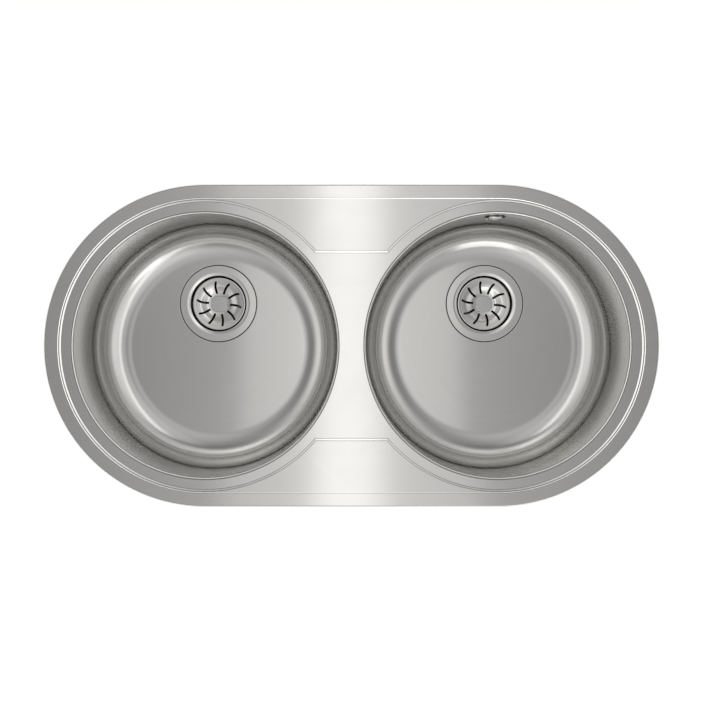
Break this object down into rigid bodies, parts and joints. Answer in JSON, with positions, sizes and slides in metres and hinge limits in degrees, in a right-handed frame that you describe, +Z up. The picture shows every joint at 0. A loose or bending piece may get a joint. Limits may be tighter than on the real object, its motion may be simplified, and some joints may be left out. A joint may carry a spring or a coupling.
{
  "type": "double bowl kitchen sink",
  "caption": "Inset stainless steel kitchen sink with rounded ends, two round bowls, lift-out basket strainer wastes, an overflow and worktop fixing clips.",
  "frame": {"origin": "middle of the outline, in the plane of the worktop's top face", "axes": "+X along the row of bowls, +Y to the tap ledge at the rear, +Z up out of the bowls"},
  "size_m": [0.84, 0.44, 0.272],
  "materials": {
    "satin_steel": "satin brushed stainless steel of the deck and bowls",
    "bright_steel": "polished stainless steel of the strainers and the overflow cover",
    "zinc_steel": "zinc plated steel of the clips and screws",
    "black_rubber": "black rubber of the gaskets and plugs",
    "grey_foam": "closed cell foam of the rim seal",
    "black_bitumen": "bitumen felt of the sound deadening pads",
    "white_plastic": "white moulded plastic of the wastes, stems, overflow housing, hose and nuts",
    "chrome_plastic": "chrome plated grips of the baskets"
  },
  "bodies": {
    "root": {"deck": "satin_steel", "rim_seal": "grey_foam", "left_bowl": "satin_steel", "left_sound_pad": "black_bitumen", "left_strainer_cup": "bright_steel", "left_flange_gasket": "black_rubber", "left_body_gasket": "black_rubber", "left_waste_body": "white_plastic", "left_centre_screw": "zinc_steel", "right_bowl": "satin_steel", "right_sound_pad": "black_bitumen", "right_strainer_cup": "bright_steel", "right_flange_gasket": "black_rubber", "right_body_gasket": "black_rubber", "right_waste_body": "white_plastic", "right_centre_screw": "zinc_steel", "overflow_cover": "bright_steel", "overflow_screw": "bright_steel", "overflow_gasket": "black_rubber", "overflow_housing": "white_plastic", "overflow_hose": "white_plastic", "overflow_upper_nut": "white_plastic", "overflow_lower_nut": "white_plastic", "clip_hanger_1": "zinc_steel", "clip_hanger_2": "zinc_steel", "clip_hanger_3": "zinc_steel", "clip_hanger_4": "zinc_steel", "clip_hanger_5": "zinc_steel", "clip_hanger_6": "zinc_steel", "clip_hanger_7": "zinc_steel", "clip_hanger_8": "zinc_steel"},
    "left_plug": {"left_basket_stem": "white_plastic", "left_basket_plug": "black_rubber"},
    "left_basket": {"left_basket_dish": "bright_steel", "left_basket_knob": "chrome_plastic"},
    "right_plug": {"right_basket_stem": "white_plastic", "right_basket_plug": "black_rubber"},
    "right_basket": {"right_basket_dish": "bright_steel", "right_basket_knob": "chrome_plastic"},
    "clip_1": {"clip_claw_1": "zinc_steel"},
    "clip_1_screw": {"clip_screw_1": "zinc_steel"},
    "clip_2": {"clip_claw_2": "zinc_steel"},
    "clip_2_screw": {"clip_screw_2": "zinc_steel"},
    "clip_3": {"clip_claw_3": "zinc_steel"},
    "clip_3_screw": {"clip_screw_3": "zinc_steel"},
    "clip_4": {"clip_claw_4": "zinc_steel"},
    "clip_4_screw": {"clip_screw_4": "zinc_steel"},
    "clip_5": {"clip_claw_5": "zinc_steel"},
    "clip_5_screw": {"clip_screw_5": "zinc_steel"},
    "clip_6": {"clip_claw_6": "zinc_steel"},
    "clip_6_screw": {"clip_screw_6": "zinc_steel"},
    "clip_7": {"clip_claw_7": "zinc_steel"},
    "clip_7_screw": {"clip_screw_7": "zinc_steel"},
    "clip_8": {"clip_claw_8": "zinc_steel"},
    "clip_8_screw": {"clip_screw_8": "zinc_steel"}
  },
  "joints": [
    {"name": "left_basket_lift", "type": "slide", "parent": "root", "child": "left_plug", "axis": [0, 0, 1], "range_m": [0, 0.045]},
    {"name": "left_basket_turn", "type": "hinge", "parent": "left_plug", "child": "left_basket", "pos_m": [-0.2, 0.064, -0.18], "axis": [0, 0, 1], "continuous": true},
    {"name": "right_basket_lift", "type": "slide", "parent": "root", "child": "right_plug", "axis": [0, 0, 1], "range_m": [0, 0.045]},
    {"name": "right_basket_turn", "type": "hinge", "parent": "right_plug", "child": "right_basket", "pos_m": [0.2, 0.064, -0.18], "axis": [0, 0, 1], "continuous": true},
    {"name": "clip_1_slide", "type": "slide", "parent": "root", "child": "clip_1", "axis": [0, 0, 1], "range_m": [0, 0.022]},
    {"name": "clip_1_screw_turn", "type": "hinge", "parent": "clip_1", "child": "clip_1_screw", "pos_m": [-0.1, -0.1965, -0.05], "axis": [0, 0, 1], "continuous": true},
    {"name": "clip_2_slide", "type": "slide", "parent": "root", "child": "clip_2", "axis": [0, 0, 1], "range_m": [0, 0.022]},
    {"name": "clip_2_screw_turn", "type": "hinge", "parent": "clip_2", "child": "clip_2_screw", "pos_m": [-0.1, 0.1965, -0.05], "axis": [0, 0, 1], "continuous": true},
    {"name": "clip_3_slide", "type": "slide", "parent": "root", "child": "clip_3", "axis": [0, 0, 1], "range_m": [0, 0.022]},
    {"name": "clip_3_screw_turn", "type": "hinge", "parent": "clip_3", "child": "clip_3_screw", "pos_m": [0.1, -0.1965, -0.05], "axis": [0, 0, 1], "continuous": true},
    {"name": "clip_4_slide", "type": "slide", "parent": "root", "child": "clip_4", "axis": [0, 0, 1], "range_m": [0, 0.022]},
    {"name": "clip_4_screw_turn", "type": "hinge", "parent": "clip_4", "child": "clip_4_screw", "pos_m": [0.1, 0.1965, -0.05], "axis": [0, 0, 1], "continuous": true},
    {"name": "clip_5_slide", "type": "slide", "parent": "root", "child": "clip_5", "axis": [0, 0, 1], "range_m": [0, 0.022]},
    {"name": "clip_5_screw_turn", "type": "hinge", "parent": "clip_5", "child": "clip_5_screw", "pos_m": [0.32631, -0.15053, -0.05], "axis": [0, 0, 1], "continuous": true},
    {"name": "clip_6_slide", "type": "slide", "parent": "root", "child": "clip_6", "axis": [0, 0, 1], "range_m": [0, 0.022]},
    {"name": "clip_6_screw_turn", "type": "hinge", "parent": "clip_6", "child": "clip_6_screw", "pos_m": [-0.32631, 0.15053, -0.05], "axis": [0, 0, 1], "continuous": true},
    {"name": "clip_7_slide", "type": "slide", "parent": "root", "child": "clip_7", "axis": [0, 0, 1], "range_m": [0, 0.022]},
    {"name": "clip_7_screw_turn", "type": "hinge", "parent": "clip_7", "child": "clip_7_screw", "pos_m": [0.32631, 0.15053, -0.05], "axis": [0, 0, 1], "continuous": true},
    {"name": "clip_8_slide", "type": "slide", "parent": "root", "child": "clip_8", "axis": [0, 0, 1], "range_m": [0, 0.022]},
    {"name": "clip_8_screw_turn", "type": "hinge", "parent": "clip_8", "child": "clip_8_screw", "pos_m": [-0.32631, -0.15053, -0.05], "axis": [0, 0, 1], "continuous": true}
  ],
  "couplings": [
    {"joint": "clip_1_screw_turn", "follows": "clip_1_slide", "rad_per_m": 7854},
    {"joint": "clip_2_screw_turn", "follows": "clip_2_slide", "rad_per_m": 7854},
    {"joint": "clip_3_screw_turn", "follows": "clip_3_slide", "rad_per_m": 7854},
    {"joint": "clip_4_screw_turn", "follows": "clip_4_slide", "rad_per_m": 7854},
    {"joint": "clip_5_screw_turn", "follows": "clip_5_slide", "rad_per_m": 7854},
    {"joint": "clip_6_screw_turn", "follows": "clip_6_slide", "rad_per_m": 7854},
    {"joint": "clip_7_screw_turn", "follows": "clip_7_slide", "rad_per_m": 7854},
    {"joint": "clip_8_screw_turn", "follows": "clip_8_slide", "rad_per_m": 7854}
  ]
}
